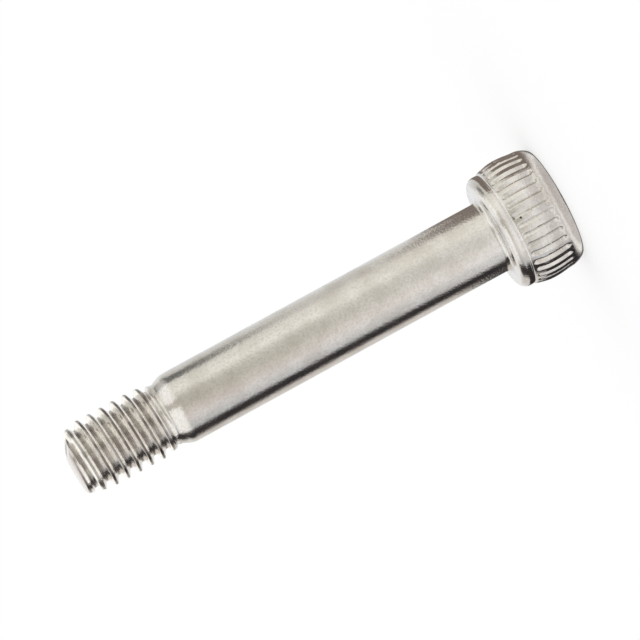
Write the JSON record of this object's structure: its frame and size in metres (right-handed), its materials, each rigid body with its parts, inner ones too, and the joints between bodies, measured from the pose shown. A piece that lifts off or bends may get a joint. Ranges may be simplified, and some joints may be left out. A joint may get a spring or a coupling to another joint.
{
  "type": "socket head shoulder bolt",
  "caption": "Stainless shoulder bolt: knurled round head with a hexagon socket, long plain shoulder and a short metric thread of the same diameter.",
  "frame": {"origin": "centre of the head's top face, on which the bolt stands", "axes": "+Z along the bolt's axis from the head towards the thread's end; X and Y across it, with the thread groove leaving the end face 127 degrees from +X and the end face sloped on the +X side"},
  "size_m": [0.0068, 0.0068, 0.0289],
  "materials": {
    "stainless_steel": "bright, slightly grained from rolling and tumbling"
  },
  "bodies": {
    "root": {"shoulder_bolt": "stainless_steel"}
  },
  "joints": []
}
